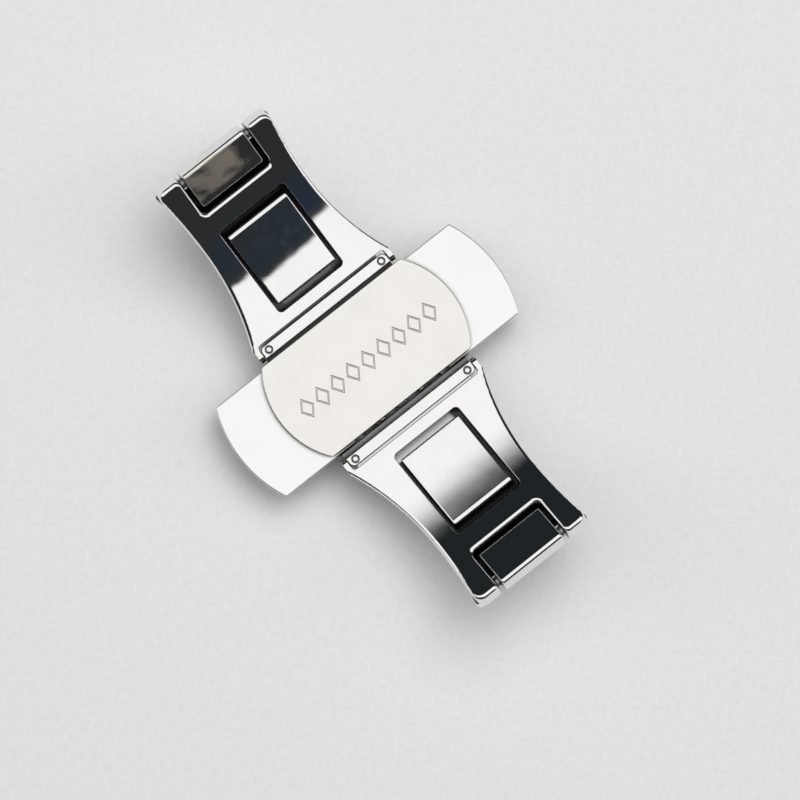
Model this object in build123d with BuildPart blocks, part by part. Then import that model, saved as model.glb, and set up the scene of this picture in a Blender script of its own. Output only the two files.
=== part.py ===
from build123d import *
import math
import os

# Butterfly clasp for a watch band, closed, with its wrist side up.
# Millimetres. The origin is on the floor under the middle of the clasp,
# X runs across the band through the two push buttons, Y along the band.

os.makedirs("parts", exist_ok=True)

# Clasp as a whole
bend_radius = 33.0
tip_hinge_y = 17.5
overrun = 1.0
soft_edge = 0.1

# Clearances
nest_gap = 0.12
under_gap = 0.15
slide_gap = 0.05
seat_gap = 0.005
run_gap = 0.03
side_gap = 0.05
fold_gap = 0.28
channel_gap = 0.08
catch_gap = 0.1
pin_path_gap = 0.1

# Strap lug at the free end of each outer link
lug_radius = 1.1
lug_bore_radius = 0.55
lug_half_spacing = 0.45
lug_half_width = 4.0

# Outer link
link_thickness = 1.0
step_foot_reach = 0.65
step_reach = 1.3
shoulder_reach = 1.1
shoulder_corner_share = 0.45
link_neck_half_width = 4.3
link_tip_half_width = 4.65
link_tip_setback = 0.4
link_corner_radius = 0.5
knuckle_half_width = 2.65
knuckle_side_gap = 0.3
knuckle_root_gap = 0.6
pad_half_width = 2.6
pad_side_gap = 0.27
pad_root_gap = 0.65
pad_tip_gap = 0.45
pad_edge_radius = 0.15
pad_nose_radius = 0.35
pad_recess = 0.07

# Inner blade
root_thickness = 1.0
root_bridge = 0.74
middle_bridge = 1.6
cutout_reach = 2.55
tip_radius = 0.7
neck_setback = 0.5
neck_half_width = 4.5
tip_half_width = 5.0
tip_corner_radius = 0.7
prong_corner_radius = 0.4
tip_edge_radius = 0.3
window_corner_radius = 0.35
ear_thickness = 0.38
rim_share = 0.7
ear_corner_radius = 0.3

# Centre body
bar_half_length = 5.55
bar_width = 0.83
bar_height = 1.0
bar_edge = 0.08
bar_end_radius = 0.4
floor_thickness = 0.4
floor_half_length = 6.4
floor_corner_radius = 0.8
wall_height = 1.0
rib_half_thickness = 0.4

# Cover plate
cover_thickness = 0.5
cover_groove = 0.45
cover_shift = 0.2
cover_side_half_length = 6.16
cover_bulge = 1.41
cover_corner_radius = 0.3
ornament_count = 9
ornament_pitch = 1.36
ornament_half_length = 0.55
ornament_half_width = 0.8
ornament_line_share = 0.76
ornament_depth = 0.05

# Push buttons
button_travel = 0.7
catch_travel = 0.3
tongue_thickness = 0.7
tongue_end_gap = 0.4
button_half_width = 4.0
button_corner_x = 10.42
button_bulge = 0.89
button_corner_radius = 0.15
button_edge_radius = 0.12
head_gap = 0.25
press_face_depth = 0.4

# Catch posts on the outer links
catch_inset_x = 1.1
catch_inset_y = 1.1
catch_shank_length = 0.8
catch_hook = 0.3
catch_half_width = 0.35
catch_head_thickness = 0.32
catch_lip_thickness = 0.3
catch_spigot_radius = 0.28
catch_swing = 0.7

# Pins, studs and springs
centre_pin_radius = 0.25
centre_pin_depth = 1.35
stake_inset = 0.55
stake_outer_radius = 0.3
stake_inner_radius = 0.17
stake_depth = 0.12
tip_pin_radius = 0.4
tip_pin_inset = 0.25
stud_inset = 1.2
stud_shoulder_radius = 0.5
stud_neck_radius = 0.35
stud_head_radius = 0.7
stud_head_thickness = 0.15
stud_tenon_radius = 0.3
stud_tenon_length = 0.3
spring_radius = 0.25
spring_wire_radius = 0.07
spring_length = 3.2
spring_half_turns = 16

# Places along the band, outwards from the middle
cover_half_width = button_half_width
channel_half_width = button_half_width + channel_gap
rib_half_width = cover_half_width - soft_edge
lug_y = lug_radius + lug_half_spacing
catch_y = button_half_width - catch_inset_y
centre_hinge_y = cover_half_width + cover_groove + bar_width / 2
blade_root_y = centre_hinge_y + bar_width / 2 + fold_gap
link_shoulder_y = centre_hinge_y - slide_gap
link_step_foot_y = centre_hinge_y + step_foot_reach
link_step_y = centre_hinge_y + step_reach
window_inner_y = blade_root_y + root_bridge
cutout_inner_y = tip_hinge_y - cutout_reach
window_outer_y = cutout_inner_y - middle_bridge
neck_y = window_outer_y - neck_setback
pad_inner_y = window_inner_y + pad_root_gap
pad_outer_y = window_outer_y - pad_tip_gap
knuckle_inner_y = cutout_inner_y + knuckle_root_gap
link_tip_y = tip_hinge_y - link_tip_setback

# Places across the band, outwards from the middle
tongue_inner_x = rib_half_thickness + button_travel + tongue_end_gap
catch_x = tongue_inner_x + catch_inset_x
spring_slot_half_width = spring_radius + spring_wire_radius + slide_gap
window_half_width = pad_half_width + pad_side_gap
cutout_half_width = knuckle_half_width + knuckle_side_gap
centre_pin_inner_x = bar_half_length - centre_pin_depth
stake_x = bar_half_length - stake_inset
tip_pin_half_length = tip_half_width - tip_pin_inset
link_shoulder_half_width = lug_half_width + shoulder_reach
stud_x = floor_half_length - stud_inset
ear_inner_x = bar_half_length + side_gap
ear_outer_x = ear_inner_x + ear_thickness
head_inner_x = floor_half_length + button_travel + head_gap
cover_half_length = cover_side_half_length + cover_bulge
press_face_inner_x = button_corner_x - press_face_depth
button_face_x = button_corner_x + button_bulge

# Heights, stacked up from the floor
plate_top_z = 2 * lug_radius
body_under_z = plate_top_z + under_gap
body_floor_z = body_under_z + floor_thickness
tongue_under_z = body_floor_z + slide_gap
tongue_top_z = tongue_under_z + tongue_thickness
cover_under_z = tongue_top_z + slide_gap
cover_top_z = cover_under_z + cover_thickness
centre_hinge_z = cover_top_z - bar_height / 2
bend_centre_z = centre_hinge_z + math.sqrt(bend_radius**2 - centre_hinge_y**2)
tip_hinge_z = bend_centre_z - math.sqrt(bend_radius**2 - tip_hinge_y**2)
total_height = tip_hinge_z + tip_radius + overrun
press_face_under_z = lug_radius + lug_bore_radius + pin_path_gap

# Soft rim of the inner blades, within the thickness of their ears
rim_radius = ear_thickness * rim_share

# Directions at the outer hinge: along the blade towards the tip, and in towards the wrist
tip_angle = math.asin(tip_hinge_y / bend_radius)
tip_along = Vector(math.cos(tip_angle), math.sin(tip_angle))
tip_inward = Vector(-math.sin(tip_angle), math.cos(tip_angle))
tip_hinge = Vector(tip_hinge_y, tip_hinge_z)
centre_hinge = Vector(centre_hinge_y, centre_hinge_z)

# Corners of the side view round the outer hinge
tip_upper = tip_hinge + tip_inward * tip_radius
tip_lower = tip_hinge - tip_inward * tip_radius
end_upper = tip_upper + tip_along * tip_radius
end_lower = tip_lower + tip_along * tip_radius


def bend_point(y, inward):
    """Point of the side view abreast of y on the bend, moved in towards the wrist."""
    angle = math.asin(y / bend_radius)
    reach = bend_radius - inward
    return Vector(reach * math.sin(angle), bend_centre_z - reach * math.cos(angle))


def save(piece, name, turn=0):
    """Write one finished piece, turned about the upright line through the middle of the clasp."""
    with BuildPart() as turned:
        add(piece.part, rotation=(0, 0, turn))
    turned.part.label = name
    export_step(turned.part, f"parts/{name}.step")


def save_both_sides(piece, name, first, second):
    """Write a piece and the same piece turned half way round."""
    save(piece, f"{first}_{name}")
    save(piece, f"{second}_{name}", turn=180)


def above_bend(edge, least=0.0):
    """Whether an edge lies on the wrist side of the middle surface of the blades."""
    middle = edge.center()
    from_bend_centre = math.hypot(abs(middle.Y), bend_centre_z - middle.Z)
    return bend_radius - from_bend_centre > least


def past_tip_hinge(edge):
    """How far the middle of an edge lies beyond the outer hinge, along the blade."""
    return (Vector(edge.center().Y, edge.center().Z) - tip_hinge).dot(tip_along)


# Centre body: a floor between two hinge bars, with a rib across the middle
with BuildPart() as centre_body:
    with BuildSketch(Plane.XY.offset(body_under_z)):
        RectangleRounded(2 * floor_half_length, 2 * channel_half_width, floor_corner_radius)
        Rectangle(2 * bar_half_length, 2 * centre_hinge_y + bar_width)
    extrude(amount=floor_thickness)
    for side in (-1, 1):
        with BuildSketch(Plane.YZ):
            wall_width = centre_hinge_y + bar_width / 2 - channel_half_width
            with Locations((side * (channel_half_width + wall_width / 2), body_under_z)):
                Rectangle(wall_width, wall_height, align=(Align.CENTER, Align.MIN))
            with Locations((side * centre_hinge_y, cover_top_z)):
                Rectangle(bar_width, cover_top_z - body_under_z, align=(Align.CENTER, Align.MAX))
        extrude(amount=bar_half_length, both=True)
    with BuildSketch(Plane.XY.offset(body_floor_z)):
        Rectangle(2 * rib_half_thickness, 2 * rib_half_width)
    extrude(amount=cover_under_z - body_floor_z)
    bar_ends = centre_body.edges().filter_by(Axis.Z).filter_by(lambda edge: edge.center().Z > body_floor_z)
    bar_ends = bar_ends.filter_by(lambda edge: abs(edge.center().X) > bar_half_length - seat_gap)
    fillet(bar_ends.filter_by(lambda edge: abs(edge.center().Y) > centre_hinge_y), radius=bar_end_radius)
    fillet(centre_body.faces().group_by(Axis.Z)[-1].edges(), radius=bar_edge)
    # Slots under the catch posts
    slot_inner_x = catch_x - catch_hook - catch_gap
    slot_outer_x = catch_x + catch_shank_length + catch_gap
    slot_inner_y = catch_y - catch_half_width - catch_gap
    slot_outer_y = catch_y + catch_half_width + catch_swing + catch_gap / 2
    with BuildSketch(Plane.XY.offset(body_under_z)):
        with GridLocations(slot_inner_x + slot_outer_x, slot_inner_y + slot_outer_y, 2, 2):
            Rectangle(slot_outer_x - slot_inner_x, slot_outer_y - slot_inner_y)
    extrude(amount=floor_thickness, mode=Mode.SUBTRACT)
    # Seats of the cover studs
    for radius, depth in (
        (stud_neck_radius, floor_thickness),
        (stud_head_radius, stud_head_thickness + seat_gap),
    ):
        with BuildSketch(Plane.XY.offset(body_under_z)):
            with GridLocations(2 * stud_x, 0, 2, 1):
                Circle(radius + seat_gap)
        extrude(amount=depth, mode=Mode.SUBTRACT)
    # Bores of the hinge pins in the bar ends
    for across in (-1, 1):
        for along in (-1, 1):
            with BuildSketch(Plane.YZ.offset(across * (centre_pin_inner_x - seat_gap))):
                with Locations((along * centre_hinge_y, centre_hinge_z)):
                    Circle(centre_pin_radius + seat_gap)
            extrude(amount=across * (bar_half_length - centre_pin_inner_x + overrun), mode=Mode.SUBTRACT)
    # Ring marks that stake the hinge pins
    with BuildSketch(Plane.XY.offset(cover_top_z)):
        with GridLocations(2 * stake_x, 2 * centre_hinge_y, 2, 2):
            Circle(stake_outer_radius)
            Circle(stake_inner_radius, mode=Mode.SUBTRACT)
    extrude(amount=-stake_depth, mode=Mode.SUBTRACT)
centre_body.part.label = "centre_body"
export_step(centre_body.part, "parts/centre_body.step")

# Cover plate over the button slides, set a little nearer to the back bar
with BuildPart() as cover_plate:
    with BuildSketch(Plane.XY.offset(cover_under_z)) as cover_outline:
        with BuildLine():
            upper_left = (-cover_side_half_length, cover_shift + cover_half_width)
            upper_right = (cover_side_half_length, cover_shift + cover_half_width)
            lower_right = (cover_side_half_length, cover_shift - cover_half_width)
            lower_left = (-cover_side_half_length, cover_shift - cover_half_width)
            Line(upper_left, upper_right)
            ThreePointArc(upper_right, (cover_half_length, cover_shift), lower_right)
            Line(lower_right, lower_left)
            ThreePointArc(lower_left, (-cover_half_length, cover_shift), upper_left)
        make_face()
        fillet(cover_outline.vertices(), radius=cover_corner_radius)
    extrude(amount=cover_thickness)
    fillet(cover_plate.faces().sort_by(Axis.Z)[-1].edges(), radius=bar_edge)
    # Row of engraved lozenges
    with BuildSketch(Plane.XY.offset(cover_top_z)):
        for scale, mode in ((1, Mode.ADD), (ornament_line_share, Mode.SUBTRACT)):
            across = (scale * ornament_half_length, 0)
            along = (0, scale * ornament_half_width)
            with GridLocations(ornament_pitch, 0, ornament_count, 1):
                Polygon(across, along, (-across[0], 0), (0, -along[1]), mode=mode)
    extrude(amount=-ornament_depth, mode=Mode.SUBTRACT)
    # Seats of the stud tenons
    with BuildSketch(Plane.XY.offset(cover_under_z)):
        with GridLocations(2 * stud_x, 0, 2, 1):
            Circle(stud_tenon_radius + seat_gap)
    extrude(amount=stud_tenon_length + seat_gap, mode=Mode.SUBTRACT)
cover_plate.part.label = "cover_plate"
export_step(cover_plate.part, "parts/cover_plate.step")

# Shouldered studs that hold the cover plate off the floor and stop the buttons
with BuildPart() as cover_stud:
    for radius, low_z, high_z in (
        (stud_head_radius, body_under_z, body_under_z + stud_head_thickness),
        (stud_neck_radius, body_under_z, body_floor_z),
        (stud_shoulder_radius, body_floor_z, cover_under_z),
        (stud_tenon_radius, cover_under_z, cover_under_z + stud_tenon_length),
    ):
        with BuildSketch(Plane.XY.offset(low_z)):
            with Locations((stud_x, 0)):
                Circle(radius)
        extrude(amount=high_z - low_z)
save_both_sides(cover_stud, "cover_stud", "right", "left")

# Push button: a flat slide under the cover plate with a deeper head and a press face
with BuildPart() as push_button:
    with BuildSketch(Plane.XY.offset(tongue_under_z)) as button_outline:
        with BuildLine():
            inner_end = Line((tongue_inner_x, -button_half_width), (tongue_inner_x, button_half_width))
            upper_edge = Line(inner_end @ 1, (button_corner_x, button_half_width))
            face = ThreePointArc(upper_edge @ 1, (button_face_x, 0), (button_corner_x, -button_half_width))
            Line(face @ 1, inner_end @ 0)
        make_face()
        fillet(button_outline.vertices(), radius=button_corner_radius)
    extrude(amount=tongue_thickness)
    with BuildSketch(Plane.XY.offset(body_under_z)):
        add(button_outline.sketch)
        with Locations((0, 0)):
            Rectangle(2 * head_inner_x, 2 * button_face_x, mode=Mode.SUBTRACT)
    extrude(amount=tongue_top_z - body_under_z)
    with BuildSketch(Plane.XY.offset(press_face_under_z)):
        add(button_outline.sketch)
        Rectangle(2 * press_face_inner_x, 2 * button_face_x, mode=Mode.SUBTRACT)
    extrude(amount=tongue_top_z - press_face_under_z)
    face_edges = push_button.edges().filter_by(Axis.Z, reverse=True)
    face_edges = face_edges.filter_by(lambda edge: edge.center().X > button_corner_x - button_corner_radius)
    fillet(face_edges, radius=button_edge_radius)
    # Slot that runs along the cover stud
    stud_room = stud_shoulder_radius + slide_gap
    with BuildSketch(Plane.XY.offset(tongue_under_z)):
        with Locations((stud_x + (button_travel - catch_travel) / 2, 0)):
            SlotCenterToCenter(button_travel + catch_travel, 2 * stud_room)
    extrude(amount=tongue_thickness, mode=Mode.SUBTRACT)
    # Open seat of the return spring
    spring_end_x = rib_half_thickness + spring_length
    spring_seat_length = spring_end_x - tongue_inner_x + overrun
    with BuildSketch(Plane.XY.offset(tongue_under_z)):
        with Locations((spring_end_x - spring_seat_length / 2, 0)):
            Rectangle(spring_seat_length, 2 * spring_slot_half_width)
    extrude(amount=tongue_thickness, mode=Mode.SUBTRACT)
    # Side notches round the catch posts, with a thin lip that slides under each hook
    notch_inner_y = catch_y - catch_half_width - catch_gap
    notch_width = button_half_width + overrun - notch_inner_y
    notch_outer_x = catch_x + catch_shank_length + button_travel + catch_gap
    lip_x = catch_x - catch_hook - slide_gap
    for low_z, height, inner_x in (
        (tongue_under_z, tongue_thickness, lip_x),
        (tongue_under_z + catch_lip_thickness, tongue_thickness, lip_x - catch_travel - slide_gap),
    ):
        with BuildSketch(Plane.XY.offset(low_z)):
            with Locations(((inner_x + notch_outer_x) / 2, 0)):
                with GridLocations(0, 2 * notch_inner_y + notch_width, 1, 2):
                    Rectangle(notch_outer_x - inner_x, notch_width)
        extrude(amount=height, mode=Mode.SUBTRACT)
save_both_sides(push_button, "push_button", "right", "left")

# Return spring of a button: half turns laid as flat arcs, each tilted to climb half a pitch
spring_z = (tongue_under_z + tongue_top_z) / 2
spring_step = (spring_length - 2 * spring_wire_radius) / spring_half_turns
spring_start_x = rib_half_thickness + spring_wire_radius
half_turn_radius = math.hypot(spring_radius, spring_step / 2)
with BuildPart() as button_spring:
    with BuildLine() as coil:
        for step in range(spring_half_turns):
            way = 1 if step % 2 == 0 else -1
            near_x = spring_start_x + step * spring_step
            ThreePointArc(
                (near_x, way * spring_radius, spring_z),
                (near_x + spring_step / 2, 0, spring_z + way * half_turn_radius),
                (near_x + spring_step, -way * spring_radius, spring_z),
            )
    with BuildSketch(Plane(origin=coil.line @ 0, z_dir=coil.line % 0)):
        Circle(spring_wire_radius)
    sweep()
save_both_sides(button_spring, "button_spring", "right", "left")

# Inner blade: the framed link between a centre hinge and an outer hinge
root_upper = bend_point(blade_root_y, root_thickness / 2)
root_lower = bend_point(blade_root_y, -root_thickness / 2)
with BuildPart() as inner_blade:
    with BuildSketch(Plane.YZ) as blade_side:
        with BuildLine():
            TangentArc(tip_upper, root_upper, tangent=-tip_along)
            Line(root_upper, root_lower)
            TangentArc(tip_lower, root_lower, tangent=-tip_along)
            Line(tip_lower, end_lower)
            Line(end_lower, end_upper)
            Line(end_upper, tip_upper)
        make_face()
        chamfer(blade_side.vertices().sort_by_distance(end_lower)[0], length=tip_edge_radius)
    extrude(amount=ear_outer_x, both=True)
    # Ears that reach round the ends of the hinge bar
    for plane_x in (ear_inner_x, -ear_outer_x):
        with BuildSketch(Plane.YZ.offset(plane_x)):
            with Locations(centre_hinge):
                Circle(root_thickness / 2)
            with Locations(bend_point(blade_root_y + root_thickness / 2, 0)):
                Circle(root_thickness / 2)
            make_hull()
        extrude(amount=ear_thickness)
    # Outline seen from the wrist
    with BuildSketch() as blade_outline:
        with BuildLine():
            flare = TangentArc((neck_half_width, neck_y), (ear_outer_x, blade_root_y), tangent=(0, -1))
            Line(flare @ 1, (ear_outer_x, 0))
            Line((ear_outer_x, 0), (0, 0))
            Line((0, 0), (0, tip_hinge_y + overrun))
            tip_side = TangentArc(
                (neck_half_width, neck_y),
                (tip_half_width, tip_hinge_y + overrun),
                tangent=(0, 1),
            )
            Line(tip_side @ 1, (0, tip_hinge_y + overrun))
        make_face()
        mirror(about=Plane.YZ)
    extrude(amount=total_height, mode=Mode.INTERSECT)
    # Window round the pad of the outer link, and cut-out round its knuckle
    with BuildSketch() as openings:
        with Locations((0, (window_inner_y + window_outer_y) / 2)):
            RectangleRounded(2 * window_half_width, window_outer_y - window_inner_y, window_corner_radius)
        cutout_length = tip_hinge_y + tip_radius + overrun - cutout_inner_y
        with Locations((0, cutout_inner_y + cutout_length / 2)):
            RectangleRounded(2 * cutout_half_width, cutout_length, window_corner_radius)
    extrude(amount=total_height, mode=Mode.SUBTRACT)
    # Rounded inner corners of the ears, over the rounded bar ends
    ear_corners = inner_blade.edges().filter_by(GeomType.LINE).filter_by(Axis.X, reverse=True)
    ear_corners = ear_corners.filter_by(lambda edge: abs(abs(edge.center().X) - ear_inner_x) < seat_gap)
    ear_corners = ear_corners.filter_by(lambda edge: abs(edge.center().Y - blade_root_y) < soft_edge)
    fillet(ear_corners, radius=ear_corner_radius)
    # Rounded corners of the prongs, first the outer ones
    for least_x, radius in ((cutout_half_width + soft_edge, tip_corner_radius), (0, prong_corner_radius)):
        corners = inner_blade.edges().filter_by(Axis.X, reverse=True)
        corners = corners.filter_by(lambda edge: abs(past_tip_hinge(edge) - tip_radius) < seat_gap)
        fillet(corners.filter_by(lambda edge: abs(edge.center().X) > least_x), radius=radius)
    # Soft rims on the wrist side, but not round the window or where the tip straightens
    rims = inner_blade.edges().filter_by(lambda edge: above_bend(edge, soft_edge))
    rims = rims.filter_by(lambda edge: edge.center().Y > window_inner_y - slide_gap)
    window_rim = rims.filter_by(lambda edge: abs(edge.center().X) < window_half_width + seat_gap)
    window_rim = window_rim.filter_by(lambda edge: edge.center().Y < window_outer_y + slide_gap)
    straightening = rims.filter_by(Axis.X).filter_by(lambda edge: edge.center().Y < tip_hinge_y)
    straightening = straightening.filter_by(lambda edge: edge.center().Y > cutout_inner_y + slide_gap)
    fillet(rims - window_rim - straightening, radius=rim_radius)
    with BuildSketch(Plane.YZ):
        with Locations(tip_hinge):
            Circle(tip_pin_radius + seat_gap)
        with Locations(centre_hinge):
            Circle(centre_pin_radius + run_gap)
    extrude(amount=ear_outer_x, both=True, mode=Mode.SUBTRACT)
save_both_sides(inner_blade, "inner_blade", "back", "front")

# Outer link: nests under the inner blade and ends in the strap lug
step_upper = bend_point(link_step_y, -root_thickness / 2 - nest_gap)
link_drop = root_thickness / 2 + nest_gap + link_thickness
step_lower = bend_point(link_step_y + link_thickness / 2, -link_drop)
tip_nest = tip_radius + nest_gap
knuckle_foot = bend_point(link_tip_y - link_thickness, -link_drop)
pad_face = root_thickness / 2 - pad_recess
# Knuckle between the prongs of the inner blade
with BuildPart() as knuckle:
    knuckle_upper = bend_point(knuckle_inner_y, tip_radius - pad_recess)
    knuckle_lower = bend_point(knuckle_inner_y, -link_drop)
    with BuildSketch(Plane.YZ) as knuckle_side:
        with BuildLine():
            Line(tip_upper, end_upper)
            Line(end_upper, end_lower)
            Line(end_lower, tip_lower)
            Line(tip_lower, knuckle_foot)
            Line(knuckle_foot, knuckle_lower)
            Line(knuckle_lower, knuckle_upper)
            TangentArc(tip_upper, knuckle_upper, tangent=-tip_along)
        make_face()
        for corner in (end_lower, end_upper):
            fillet(knuckle_side.vertices().sort_by_distance(corner)[0], radius=tip_edge_radius)
    extrude(amount=knuckle_half_width, both=True)
    sides = knuckle.edges().filter_by(lambda edge: abs(edge.center().X) > knuckle_half_width - seat_gap)
    knuckle_root = knuckle.edges().filter_by(Axis.X)
    knuckle_root = knuckle_root.filter_by(lambda edge: abs(edge.center().Y - knuckle_upper.X) < seat_gap)
    fillet(sides + knuckle_root, radius=pad_edge_radius)

# Pad that fills the window of the inner blade
with BuildPart() as pad:
    pad_low = -root_thickness / 2 - nest_gap - link_thickness / 2
    with BuildSketch(Plane.YZ) as pad_side:
        with BuildLine():
            middle_y = (pad_inner_y + pad_outer_y) / 2
            corners = [
                bend_point(pad_inner_y, pad_face),
                bend_point(pad_outer_y, pad_face),
                bend_point(pad_outer_y, pad_low),
                bend_point(pad_inner_y, pad_low),
            ]
            ThreePointArc(corners[0], bend_point(middle_y, pad_face), corners[1])
            Line(corners[1], corners[2])
            Line(corners[2], corners[3])
            Line(corners[3], corners[0])
        make_face()
        fillet(pad_side.vertices().sort_by_distance(corners[1])[0], radius=pad_nose_radius)
    extrude(amount=pad_half_width, both=True)
    pad_rims = pad.edges().filter_by(lambda edge: above_bend(edge, pad_low + soft_edge))
    nose_lines = pad_rims.filter_by(Axis.X).filter_by(lambda edge: edge.center().Y > middle_y)
    fillet(pad_rims - nose_lines, radius=pad_edge_radius)

with BuildPart() as outer_link:
    with BuildSketch(Plane.YZ) as link_side:
        with BuildLine():
            TangentArc(tip_hinge - tip_inward * tip_nest, step_upper, tangent=-tip_along)
            Line(step_upper, (link_step_foot_y, plate_top_z))
            Line((link_step_foot_y, plate_top_z), (lug_y, plate_top_z))
            Line((lug_y, plate_top_z), (lug_y, plate_top_z - link_thickness))
            lower_foot = (link_step_foot_y + link_thickness / 2, plate_top_z - link_thickness)
            Line((lug_y, plate_top_z - link_thickness), lower_foot)
            Line(lower_foot, step_lower)
            TangentArc(tip_hinge - tip_inward * (tip_nest + link_thickness), step_lower, tangent=-tip_along)
            Line(tip_hinge - tip_inward * tip_nest, tip_hinge - tip_inward * (tip_nest + link_thickness))
        make_face()
    extrude(amount=link_shoulder_half_width, both=True)
    with BuildSketch() as link_outline:
        with BuildLine():
            waist = (link_neck_half_width, neck_y)
            shoulder = (link_shoulder_half_width, link_step_y)
            flare = TangentArc(waist, shoulder, tangent=(0, -1))
            down = Line(shoulder, (link_shoulder_half_width, link_shoulder_y))
            shelf = Line(down @ 1, (lug_half_width, link_shoulder_y))
            Line(shelf @ 1, (lug_half_width, 0))
            Line((lug_half_width, 0), (0, 0))
            Line((0, 0), (0, link_tip_y))
            tip_side = TangentArc(waist, (link_tip_half_width, link_tip_y), tangent=(0, 1))
            Line(tip_side @ 1, (0, link_tip_y))
        make_face()
        tip_corner = link_outline.vertices().group_by(Axis.Y)[-1].sort_by(Axis.X)[-1]
        fillet(tip_corner, radius=link_corner_radius)
        shelf_corners = link_outline.vertices().filter_by_position(
            Axis.Y, link_shoulder_y - slide_gap, link_shoulder_y + slide_gap
        )
        fillet(shelf_corners, radius=shoulder_reach * shoulder_corner_share)
        mirror(about=Plane.YZ)
    extrude(amount=total_height, mode=Mode.INTERSECT)
    # Knuckle and pad that show through the inner blade
    add(knuckle.part)
    add(pad.part)
    # Strap lug
    with BuildSketch(Plane.YZ):
        with Locations((lug_y, lug_radius)):
            Circle(lug_radius)
    extrude(amount=lug_half_width, both=True)
    with BuildSketch(Plane.YZ):
        with Locations((lug_y, lug_radius)):
            Circle(lug_bore_radius)
        with Locations(tip_hinge):
            Circle(tip_pin_radius + run_gap)
    extrude(amount=link_shoulder_half_width, both=True, mode=Mode.SUBTRACT)
    # Holes for the spigots of the catch posts
    with BuildSketch(Plane.XY.offset(plate_top_z - link_thickness)):
        with Locations((0, catch_y)):
            with GridLocations(2 * catch_x + catch_shank_length, 0, 2, 1):
                Circle(catch_spigot_radius + seat_gap)
    extrude(amount=link_thickness, mode=Mode.SUBTRACT)
save_both_sides(outer_link, "outer_link", "back", "front")

# Catch posts: a riveted spigot, a shank and a hook that faces the middle of the clasp
for end_name, end in (("left", -1), ("right", 1)):
    for side_name, side in (("front", -1), ("back", 1)):
        shank_x = end * (catch_x + catch_shank_length / 2)
        head_length = catch_shank_length + catch_hook
        head_under_z = tongue_under_z + catch_lip_thickness + slide_gap
        with BuildPart() as catch_post:
            with BuildSketch(Plane.XY.offset(plate_top_z - link_thickness)):
                with Locations((shank_x, side * catch_y)):
                    Circle(catch_spigot_radius)
            extrude(amount=link_thickness)
            with BuildSketch(Plane.XY.offset(plate_top_z)):
                with Locations((shank_x, side * catch_y)):
                    Rectangle(catch_shank_length, 2 * catch_half_width)
            extrude(amount=head_under_z - plate_top_z)
            with BuildSketch(Plane.XY.offset(head_under_z)):
                with Locations((shank_x - end * catch_hook / 2, side * catch_y)):
                    Rectangle(head_length, 2 * catch_half_width)
            extrude(amount=catch_head_thickness)
        save(catch_post, f"{side_name}_{end_name}_catch_post")

# Pins of the outer hinges, through both prongs and the knuckle
with BuildPart() as tip_pin:
    with BuildSketch(Plane.YZ):
        with Locations(tip_hinge):
            Circle(tip_pin_radius)
    extrude(amount=tip_pin_half_length, both=True)
    fillet(tip_pin.edges().filter_by(GeomType.CIRCLE), radius=soft_edge)
save_both_sides(tip_pin, "outer_hinge_pin", "back", "front")

# Short pins of the centre hinges, through the ears into the bar ends
for end_name, end in (("left", -1), ("right", 1)):
    for side_name, side in (("front", -1), ("back", 1)):
        with BuildPart() as centre_pin:
            with BuildSketch(Plane.YZ.offset(end * centre_pin_inner_x)):
                with Locations((side * centre_hinge_y, centre_hinge_z)):
                    Circle(centre_pin_radius)
            extrude(amount=end * (ear_outer_x - centre_pin_inner_x))
        save(centre_pin, f"{side_name}_{end_name}_hinge_pin")
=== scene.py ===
import math

import bpy
from mathutils import Matrix, Vector


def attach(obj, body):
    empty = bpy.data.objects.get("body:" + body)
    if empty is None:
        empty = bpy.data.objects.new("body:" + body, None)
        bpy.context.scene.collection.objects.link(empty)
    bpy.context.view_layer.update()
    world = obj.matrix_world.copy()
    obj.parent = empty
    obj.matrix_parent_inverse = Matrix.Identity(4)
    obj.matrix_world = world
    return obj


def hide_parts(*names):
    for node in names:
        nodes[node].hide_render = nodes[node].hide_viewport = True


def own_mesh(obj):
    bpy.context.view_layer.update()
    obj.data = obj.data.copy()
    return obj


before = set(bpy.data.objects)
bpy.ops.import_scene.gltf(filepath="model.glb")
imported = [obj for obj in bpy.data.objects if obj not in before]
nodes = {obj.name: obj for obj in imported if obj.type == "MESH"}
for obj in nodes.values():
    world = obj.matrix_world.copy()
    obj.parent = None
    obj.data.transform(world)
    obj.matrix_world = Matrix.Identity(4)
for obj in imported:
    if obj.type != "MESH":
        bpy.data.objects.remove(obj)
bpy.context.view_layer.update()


# A millimetre in Blender's metres
MM = 0.001

# ---------------------------------------------------------------- numbers of the camera
# Seen from the wrist side, almost straight down, turned as in the photograph. Angles in degrees.
DISTANCE = 300 * MM
LEAN_X = -4.0
LEAN_Y = 0.9
ROLL = 38.3
PHOTO_WIDTH = 800
PIXELS_PER_MM = 14.31
CENTRE_OFFSET = (2.217 * MM, -2.801 * MM)
AIM_HEIGHT = 4.0 * MM
SENSOR_WIDTH = 36.0
CLIP_START = 0.01
CLIP_END = 10.0

# ---------------------------------------------------------------- numbers of the finish
# A pair below is a range: its effect is none at the first number and full at the second.

# Noises: scale per millimetre, and the range of their values that counts
TINT_SCALE, TINT_RANGE = 0.35, (0.35, 0.65)
SMUDGE_SCALE, SMUDGE_RANGE = 0.7, (0.52, 0.78)
BUFFED_SCALE = 0.55
GRAIN_STRETCH = (0.12, 9.0, 2.0)
# Two families of stray hairlines that cross: turn in radians, stretch and range
HAIRLINES = (
    (0.5, (0.16, 9.0, 1.0), (0.68, 0.74)),
    (-0.9, (0.12, 11.0, 1.0), (0.70, 0.75)),
)
# The shares of a finish's roughness that are even and that follow the grain
EVEN_SHARE = 0.85
GRAIN_SHARE = 0.3

EDGE_SOFTNESS = 0.06 * MM
EDGE_SAMPLES = 6

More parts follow.
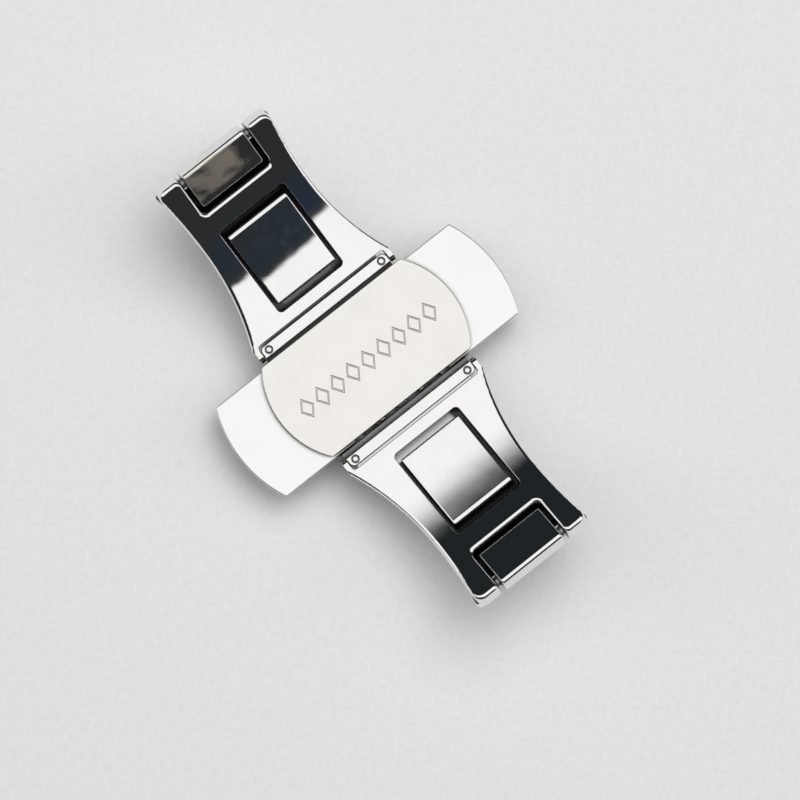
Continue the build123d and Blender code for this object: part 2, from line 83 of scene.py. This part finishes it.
# Painted shade: the steel darkens and dulls where little open space lies within reach, as gaps are
# shaded. There is none low down, where the floor would count as the side of a gap. Heights in
# millimetres.
GAP_REACH = 0.9 * MM
GAP_SAMPLES = 16
GAP_RANGE = (0.85, 0.45)
GAP_SHADE_HEIGHTS = (1.2, 2.0)
# The near black of the painted shade, how much of it is laid on, and the dulling that goes with it
PAINTED_GAP_SHADE = (0.018, 0.019, 0.023)
GAP_SHADE_COVER = 0.96
GAP_SHADE_DULLING = 0.25
# On the buttons only a fine line of painted shade is left where the wings meet the cover plate
BUTTON_SHADE_POWER = 2.4

# ---------------------------------------------------------------- numbers of the marks
# Millimetres: ALONG an arm from the clasp's middle, ACROSS it along X, and up along Z
BACK_ARM = (-0.5, 0.5)

# The pads and the back blade lie a touch steeper or flatter than they are bent
FRONT_PAD_TILT = 0.030
BACK_PAD_TILT = 0.02
BACK_BLADE_TILT = -0.034

# The back knuckle is scuffed, on its top and towards one side
SCUFF_TURN, SCUFF_STRETCH = 0.3, (1.0, 1.6, 1.0)
SCUFF_SCALE, SCUFF_RANGE = 0.5, (0.15, 0.62)
SCUFF_ACROSS = (2.5, 0.9)
SCUFF_ALONG_START = (15.4, 15.9)
SCUFF_ALONG_END = (17.7, 17.55)
# Only above a line that rises along the arm, which leaves out the outer side of the link
SCUFF_SLOPE = 0.62
SCUFF_LIFT = (-2.9, -2.6)
SCUFF_COLOUR = (0.54, 0.47, 0.36)
SCUFF_COVER = 0.85
SCUFF_DULLING = 0.46

# A mottled film lies on the back pad and beyond
FILM_SCALE, FILM_RANGE = 1.3, (0.45, 0.75)
FILM_ALONG = (9.6, 10.4)
FILM_DULLING = 0.12

# The painted shade is lifted from the front link in two strips, between bar and blade and at the
# root of its pad, but for the root's one corner. The first strip is greyed, the second dulled
UNSHADED_ALONG_START = (5.0, 5.1)
UNSHADED_ALONG_END = (7.05, 6.95)
ROOT_ALONG = (6.1, 6.2)
CORNER_ACROSS = (2.1, 2.35)
UNSHADED_SHARE = 0.93
STRIP_GREY = (0.55, 0.53, 0.53)
STRIP_GREY_COVER = 0.5
ROOT_DULLING = 0.3

# Arcs that the lap left on the cover plate, about a centre in millimetres
LAP_CENTRE = (14.0, 6.0, 0.0)
LAP_SCALE = 2.6
LAP_PATCH_SCALE, LAP_PATCH_RANGE = 0.25, (0.45, 0.65)
LAP_DEPTH = 0.0012
LAP_DULLING = 0.05

# ---------------------------------------------------------------- numbers of the studio
FLOOR_HALF = 1.5
FLOOR_HEIGHT = -0.02 * MM
FLOOR_TONES = ((0.80, 0.80, 0.80), (0.84, 0.84, 0.84))
SPECKLE_SCALE, SPECKLE_RANGE = 2.2, (0.3, 0.7)
FLOOR_ROUGHNESS = 0.75

# A long strip of light overhead, from the picture's left to its right, in a dim room. SLANT is
# how far a direction leans to the picture's top for each unit of its height.
WHITE = (1.0, 1.0, 1.0)
LEAST_HEIGHT = 0.02
STRIP_TOP_SLANT = (0.84, 0.58)
STRIP_BOTTOM_SLANT = (-0.46, -0.44)
STRIP_HEIGHTS = (0.02, 0.12)
ROOM_SLANT = (-0.3, 0.3)
ROOM_AT_BOTTOM = (0.026, 0.027, 0.025)
ROOM_AT_TOP = (0.0145, 0.0185, 0.021)
# A mottled navy band just past the strip's lower edge
NAVY = (0.017, 0.030, 0.049)
NAVY_BOTTOM_SLANT = (-0.80, -0.56)
NAVY_TOP_SLANT = (-0.2, -0.4)
MOTTLE_SCALE, MOTTLE_RANGE, MOTTLE_SHARES = 9.0, (0.36, 0.60), (0.25, 1.0)
HORIZON_HEIGHTS = (0.10, 0.0)
HORIZON_SHARE = 0.7
WORLD_STRENGTH = 1.04

FILL_SIZE = 0.35
FILL_ENERGY = 1.4
FILL_PLACE = (0.16, 0.12, 0.5)


def place_camera():
    roll = math.radians(ROLL)
    lean_x, lean_y = (math.tan(math.radians(lean)) for lean in (LEAN_X, LEAN_Y))
    back = Vector((lean_x, lean_y, 1.0)).normalized()
    right = Vector((math.cos(roll), -math.sin(roll), 0.0))
    right = (right - back * right.dot(back)).normalized()
    up = back.cross(right)
    centre = Vector((0, 0, AIM_HEIGHT)) + right * CENTRE_OFFSET[0] + up * CENTRE_OFFSET[1]
    data = bpy.data.cameras.new("camera")
    data.sensor_width = SENSOR_WIDTH
    view_width = PHOTO_WIDTH / PIXELS_PER_MM * MM
    data.lens = data.sensor_width * DISTANCE / view_width
    data.clip_start = CLIP_START
    data.clip_end = CLIP_END
    camera = bpy.data.objects.new("camera", data)
    bpy.context.scene.collection.objects.link(camera)
    turn = Matrix((right, up, back)).transposed().to_4x4()
    camera.matrix_world = Matrix.Translation(centre + back * DISTANCE) @ turn
    bpy.context.scene.camera = camera


place_camera()


# ---------------------------------------------------------------- node helpers
class Tree:
    """A few short calls for wiring one node tree."""

    def __init__(self, tree):
        self.tree = tree
        tree.nodes.clear()

    def node(self, kind, **inputs):
        """A node with its inputs fed by name, where _ stands for a space."""
        made = self.tree.nodes.new(kind)
        for name, value in inputs.items():
            self.feed(made.inputs[name.replace("_", " ")], value)
        return made

    def feed(self, socket, value):
        """Link a socket's value, or set a plain one."""
        if isinstance(value, bpy.types.NodeSocket):
            self.tree.links.new(value, socket)
        else:
            socket.default_value = value

    def math(self, operation, *values):
        made = self.tree.nodes.new("ShaderNodeMath")
        made.operation = operation
        for socket, value in zip(made.inputs, values):
            self.feed(socket, value)
        return made.outputs[0]

    def vector_math(self, operation, *values):
        made = self.tree.nodes.new("ShaderNodeVectorMath")
        made.operation = operation
        for socket, value in zip(made.inputs, values):
            self.feed(socket, value)
        return made

    def product(self, first, *others):
        for value in others:
            first = self.math("MULTIPLY", first, value)
        return first

    def add(self, total, *factors):
        """The total with a product added to it."""
        return self.math("ADD", total, self.product(*factors))

    def inverse(self, value):
        return self.math("SUBTRACT", 1.0, value)

    def spread(self, value, between, onto=(0.0, 1.0), smooth=False):
        """Map one range onto another, clamped."""
        made = self.node("ShaderNodeMapRange", Value=value)
        if smooth:
            made.interpolation_type = "SMOOTHSTEP"
        ends = ("From Min", "From Max", "To Min", "To Max")
        for end, number in zip(ends, (*between, *onto)):
            made.inputs[end].default_value = number
        return made.outputs["Result"]

    def blend(self, factor, first, second):
        """Mix two colours by a factor."""
        made = self.tree.nodes.new("ShaderNodeMix")
        made.data_type = "RGBA"
        self.feed(made.inputs[0], factor)
        for index, value in ((6, first), (7, second)):
            plain = not isinstance(value, bpy.types.NodeSocket)
            self.feed(made.inputs[index], (*value, 1.0) if plain else value)
        return made.outputs[2]

    def millimetres(self, turn=0.0, stretch=(1.0, 1.0, 1.0)):
        """Object coordinates in millimetres, turned about Z in radians and stretched."""
        coordinates = self.tree.nodes.new("ShaderNodeTexCoord").outputs["Object"]
        turned = self.tree.nodes.new("ShaderNodeVectorRotate")
        turned.rotation_type = "Z_AXIS"
        self.feed(turned.inputs["Vector"], coordinates)
        self.feed(turned.inputs["Angle"], turn)
        scale = tuple(s / MM for s in stretch)
        return self.node("ShaderNodeMapping", Vector=turned.outputs[0], Scale=scale).outputs[0]

    def place(self, axis):
        """One object coordinate in millimetres."""
        return self.node("ShaderNodeSeparateXYZ", Vector=self.millimetres()).outputs[axis]

    def alike(self, value):
        """A vector with one value in all three places."""
        return self.node("ShaderNodeCombineXYZ", X=value, Y=value, Z=value).outputs[0]

    def noise(self, vector, scale, detail=2.0, roughness=0.5):
        made = self.node(
            "ShaderNodeTexNoise", Vector=vector, Scale=scale, Detail=detail, Roughness=roughness
        )
        return made.outputs["Fac"]

    def show(self, kind, shader):
        """Link a shader to the output of its tree."""
        self.node(kind, Surface=shader.outputs[0])


# ---------------------------------------------------------------- steel
def steel(name, pale, deep, rough, grain_turn, grain_height, wave, film, hairline, marks=None):
    """
    Stainless steel: wandering tint, thin smudges, grain, stray hairlines and painted shade in the
    gaps.
    grain_height, wave and hairline are depths in millimetres, and marks changes the result.
    """
    material = bpy.data.materials.new(name)
    material.use_nodes = True
    t = Tree(material.node_tree)

    plain = t.millimetres()
    colour = t.blend(t.spread(t.noise(plain, TINT_SCALE, detail=4.0), TINT_RANGE), pale, deep)
    smudge = t.noise(plain, SMUDGE_SCALE, detail=5.0, roughness=0.6)
    smudge = t.spread(smudge, SMUDGE_RANGE, (0.0, film))

    # Long fine lines along the finishing direction
    grain = t.noise(t.millimetres(grain_turn, GRAIN_STRETCH), 1.0, detail=4.0, roughness=0.6)
    lines = (
        t.spread(t.noise(t.millimetres(turn, stretch), 1.0, detail=1.0), shown)
        for turn, stretch, shown in HAIRLINES
    )
    lines = t.math("MAXIMUM", *lines)
    # The slow unevenness that buffing leaves
    buffed = t.noise(plain, BUFFED_SCALE, detail=1.0)

    soft = t.node("ShaderNodeBevel", Radius=EDGE_SOFTNESS)
    soft.samples = EDGE_SAMPLES
    # Painted shade: a mask that is high in narrow gaps and creases between parts, where shade falls
    gap = t.node("ShaderNodeAmbientOcclusion", Distance=GAP_REACH)
    gap.samples = GAP_SAMPLES
    gap_shade = t.product(t.spread(gap.outputs["AO"], GAP_RANGE), t.spread(t.place("Z"), GAP_SHADE_HEIGHTS))

    height = t.product(grain, grain_height)
    height = t.add(height, lines, -hairline)
    height = t.add(height, buffed, wave)
    roughness = t.math("MULTIPLY_ADD", grain, rough * GRAIN_SHARE, rough * EVEN_SHARE)
    roughness = t.math("ADD", smudge, roughness)
    if marks is not None:
        colour, roughness, height, gap_shade = marks(t, colour, roughness, height, gap_shade)
    # The base colour is darkened in the gaps by the painted shade, and roughened
    colour = t.blend(t.product(gap_shade, GAP_SHADE_COVER), colour, PAINTED_GAP_SHADE)
    roughness = t.add(roughness, gap_shade, GAP_SHADE_DULLING)
    bump = t.node(
        "ShaderNodeBump", Strength=1.0, Distance=MM, Height=height, Normal=soft.outputs[0]
    )
    shader = t.node(
        "ShaderNodeBsdfPrincipled",
        Metallic=1.0, Base_Color=colour, Roughness=roughness, Normal=bump.outputs[0],
    )
    t.show("ShaderNodeOutputMaterial", shader)
    return material


def arm_places(t):
    """Distance along the arm, and 1 on the back arm."""
    along = t.place("Y")
    return t.math("ABSOLUTE", along), t.spread(along, BACK_ARM)


def link_marks(t, colour, roughness, height, gap_shade):
    """Tilted pads, a scuffed back knuckle, a film on the back pad, and front strips with the
    painted shade lifted.
    """
    along, back = arm_places(t)
    height = t.add(height, along, t.spread(back, (0.0, 1.0), (FRONT_PAD_TILT, BACK_PAD_TILT)))

    scuff = t.noise(t.millimetres(SCUFF_TURN, SCUFF_STRETCH), SCUFF_SCALE, detail=4.0)
    scuff = t.product(
        t.spread(scuff, SCUFF_RANGE, smooth=True),
        t.spread(t.place("X"), SCUFF_ACROSS, smooth=True),
        t.spread(along, SCUFF_ALONG_START, smooth=True),
        t.spread(along, SCUFF_ALONG_END),
        t.spread(t.math("MULTIPLY_ADD", along, -SCUFF_SLOPE, t.place("Z")), SCUFF_LIFT),
        back,
    )
    colour = t.blend(t.product(scuff, SCUFF_COVER), colour, SCUFF_COLOUR)
    roughness = t.add(roughness, scuff, SCUFF_DULLING)

    film = t.noise(t.millimetres(), FILM_SCALE, detail=6.0, roughness=0.7)
    film = t.spread(film, FILM_RANGE, (0.0, FILM_DULLING))
    roughness = t.add(roughness, film, t.spread(along, FILM_ALONG), back)

    root = t.spread(along, ROOT_ALONG)
    corner = t.product(t.spread(t.place("X"), CORNER_ACROSS), root)
    # Most of the painted shade is taken off in these strips
    unshaded = t.product(
        t.spread(along, UNSHADED_ALONG_START),
        t.spread(along, UNSHADED_ALONG_END),
        t.inverse(corner),
        t.inverse(back),
    )
    gap_shade = t.product(gap_shade, t.math("MULTIPLY_ADD", unshaded, -UNSHADED_SHARE, 1.0))
    colour = t.blend(t.product(unshaded, t.inverse(root), STRIP_GREY_COVER), colour, STRIP_GREY)
    roughness = t.add(roughness, unshaded, root, ROOT_DULLING)
    return colour, roughness, height, gap_shade


def blade_marks(t, colour, roughness, height, gap_shade):
    """The back blade lies a touch flatter than its pad."""
    along, back = arm_places(t)
    return colour, roughness, t.add(height, along, back, BACK_BLADE_TILT), gap_shade


def button_marks(t, colour, roughness, height, gap_shade):
    """Finer painted shade."""
    return colour, roughness, height, t.math("POWER", gap_shade, BUTTON_SHADE_POWER)


def plate_marks(t, colour, roughness, height, gap_shade):
    """Faint arcs in patches."""
    flat = t.millimetres(stretch=(1.0, 1.0, 0.0))
    place = t.vector_math("SUBTRACT", flat, LAP_CENTRE).outputs[0]
    reach = t.vector_math("LENGTH", place).outputs["Value"]
    arcs = t.noise(t.alike(reach), LAP_SCALE, detail=3.0, roughness=0.7)
    arcs = t.product(arcs, t.spread(t.noise(t.millimetres(), LAP_PATCH_SCALE), LAP_PATCH_RANGE))
    roughness = t.math("MULTIPLY_ADD", arcs, LAP_DULLING, roughness)
    return colour, roughness, t.add(height, arcs, LAP_DEPTH), gap_shade


polish = steel(
    "polished_steel", (0.875, 0.868, 0.855), (0.85, 0.842, 0.828), rough=0.07,
    grain_turn=math.radians(90), grain_height=0.0001, wave=0.0, film=0.03, hairline=0.0002,
)
blade_polish = steel(
    "polished_blade_steel", (0.88, 0.873, 0.86), (0.86, 0.852, 0.838), rough=0.04,
    grain_turn=0.0, grain_height=0.00005, wave=0.006, film=0.02, hairline=0.0001,
    marks=blade_marks,
)
link_polish = steel(
    "polished_link_steel", (0.875, 0.868, 0.856), (0.85, 0.842, 0.828), rough=0.04,
    grain_turn=math.radians(90), grain_height=0.00005, wave=0.004, film=0.03, hairline=0.0001,
    marks=link_marks,
)
button_satin = steel(
    "satin_button_steel", (0.90, 0.895, 0.888), (0.885, 0.88, 0.872), rough=0.15,
    grain_turn=math.radians(-8), grain_height=0.0002, wave=0.003, film=0.03, hairline=0.00015,
    marks=button_marks,
)
plate_brushed = steel(
    "brushed_plate_steel", (0.85, 0.83, 0.797), (0.83, 0.81, 0.777), rough=0.2,
    grain_turn=math.radians(37), grain_height=0.00035, wave=0.002, film=0.05, hairline=0.00025,
    marks=plate_marks,
)
pin_ground = steel(
    "ground_pin_steel", (0.72, 0.712, 0.70), (0.62, 0.612, 0.60), rough=0.22,
    grain_turn=math.radians(90), grain_height=0.0005, wave=0.0, film=0.08, hairline=0.0003,
)
spring_drawn = steel(
    "drawn_spring_steel", (0.60, 0.60, 0.60), (0.50, 0.50, 0.505), rough=0.24,
    grain_turn=0.0, grain_height=0.0004, wave=0.0, film=0.06, hairline=0.0002,
)

# Pins, studs and catch posts are ground, the rest as named here
dress = {
    "centre_body": polish,
    "cover_plate": plate_brushed,
    "left_push_button": button_satin,
    "right_push_button": button_satin,
    "front_inner_blade": blade_polish,
    "back_inner_blade": blade_polish,
    "front_outer_link": link_polish,
    "back_outer_link": link_polish,
    "left_button_spring": spring_drawn,
    "right_button_spring": spring_drawn,
}
for name, node in nodes.items():
    for slot in node.material_slots:
        slot.material = dress.get(name, pin_ground)

# ---------------------------------------------------------------- return springs
# Each spring is drawn by a copy on its own mesh, attached to the centre, in place of the part
for side, outward in (("left", -1), ("right", 1)):
    spring = nodes[f"{side}_button_spring"]
    coil = bpy.data.objects.new(f"{side}_return_coil", spring.data.copy())
    bpy.context.scene.collection.objects.link(coil)
    coil.matrix_world = spring.matrix_world.copy()
    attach(coil, "centre")
    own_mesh(coil)
    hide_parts(f"{side}_button_spring")

# ---------------------------------------------------------------- floor
floor_mesh = bpy.data.meshes.new("floor")
corners = ((-1, -1), (1, -1), (1, 1), (-1, 1))
floor_mesh.from_pydata(
    [(x * FLOOR_HALF, y * FLOOR_HALF, 0) for x, y in corners], [], [(0, 1, 2, 3)]
)
floor = bpy.data.objects.new("floor", floor_mesh)
floor.location.z = FLOOR_HEIGHT
bpy.context.scene.collection.objects.link(floor)
floor_material = bpy.data.materials.new("pale_floor")
floor_material.use_nodes = True
ft = Tree(floor_material.node_tree)
speckle = ft.spread(ft.noise(ft.millimetres(), SPECKLE_SCALE, detail=3.0), SPECKLE_RANGE)
floor_shader = ft.node(
    "ShaderNodeBsdfPrincipled",
    Base_Color=ft.blend(speckle, *FLOOR_TONES), Roughness=FLOOR_ROUGHNESS,
)
ft.show("ShaderNodeOutputMaterial", floor_shader)
floor_mesh.materials.append(floor_material)

# ---------------------------------------------------------------- light
world = bpy.data.worlds.new("studio")
bpy.context.scene.world = world
world.use_nodes = True
wt = Tree(world.node_tree)
direction = wt.node("ShaderNodeTexCoord").outputs["Generated"]
part = wt.node("ShaderNodeSeparateXYZ", Vector=direction).outputs
height = part["Z"]
turn = math.radians(ROLL)
upward = wt.product(part["X"], math.sin(turn))
upward = wt.math("MULTIPLY_ADD", part["Y"], math.cos(turn), upward)
slant = wt.math("DIVIDE", upward, wt.math("MAXIMUM", height, LEAST_HEIGHT))
strip = wt.product(
    wt.spread(slant, STRIP_TOP_SLANT, smooth=True),
    wt.spread(slant, STRIP_BOTTOM_SLANT),
    wt.spread(height, STRIP_HEIGHTS),
)
mottle = wt.noise(direction, MOTTLE_SCALE, detail=6.0, roughness=0.65)
navy = wt.product(
    wt.spread(slant, NAVY_BOTTOM_SLANT, smooth=True),
    wt.spread(slant, NAVY_TOP_SLANT),
    wt.spread(mottle, MOTTLE_RANGE, MOTTLE_SHARES),
)
horizon = wt.product(wt.spread(height, HORIZON_HEIGHTS), HORIZON_SHARE)
room = wt.blend(wt.spread(slant, ROOM_SLANT), ROOM_AT_BOTTOM, ROOM_AT_TOP)
room = wt.blend(navy, room, NAVY)
room = wt.blend(horizon, room, WHITE)
background = wt.node(
    "ShaderNodeBackground", Color=wt.blend(strip, room, WHITE), Strength=WORLD_STRENGTH
)
wt.show("ShaderNodeOutputWorld", background)

# The lamp lights the floor alone, because the steel doesn't mirror it
lamp_data = bpy.data.lights.new("fill", "AREA")
lamp_data.shape = "SQUARE"
lamp_data.size = FILL_SIZE
lamp_data.energy = FILL_ENERGY
lamp = bpy.data.objects.new("fill", lamp_data)
lamp.location = FILL_PLACE
lamp.rotation_euler = Vector(lamp.location).to_track_quat("Z", "Y").to_euler()
lamp.visible_glossy = False
bpy.context.scene.collection.objects.link(lamp)

bpy.context.scene.view_settings.view_transform = "Standard"
